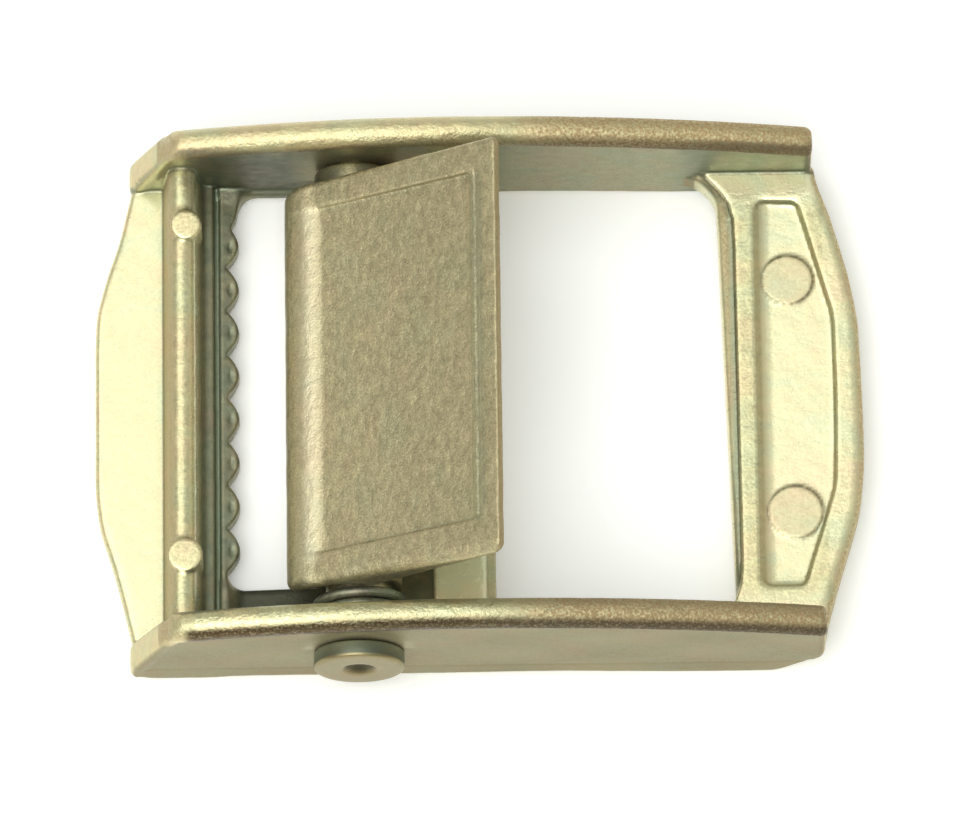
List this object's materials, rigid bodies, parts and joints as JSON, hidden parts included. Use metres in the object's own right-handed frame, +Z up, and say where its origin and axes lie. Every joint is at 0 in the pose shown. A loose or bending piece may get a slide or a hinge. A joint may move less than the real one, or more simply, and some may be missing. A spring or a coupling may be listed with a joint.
{
  "type": "cam buckle",
  "caption": "Cast cam buckle for one-inch webbing: open frame with a toothed anvil and a strap bar, and a sprung thumb lever that clamps the strap.",
  "frame": {"origin": "middle of the footprint, on the surface that the buckle lies on", "axes": "+X along the strap from the toothed anvil to the sewn-strap bar, +Y along the lever's pin, +Z up out of the open top"},
  "size_m": [0.046, 0.0336, 0.0144],
  "materials": {
    "cast_zinc": "zinc casting with a yellow passivated finish, satin and slightly rough",
    "lever_zinc": "zinc casting with a yellow passivated finish, matte and grainy",
    "pin_steel": "steel rivet with a light yellow passivated finish",
    "spring_wire": "drawn spring wire, satin"
  },
  "bodies": {
    "frame": {"frame": "cast_zinc", "pivot_pin": "pin_steel", "return_spring": "spring_wire"},
    "lever": {"cam_lever": "lever_zinc"}
  },
  "joints": [
    {"name": "lever_hinge", "type": "hinge", "parent": "frame", "child": "lever", "pos_m": [-0.00735, 0, 0.00435], "axis": [0, 1, 0], "range_deg": [0, 38], "stiffness_Nm_per_rad": 0.02, "springref_deg": -85.94}
  ]
}
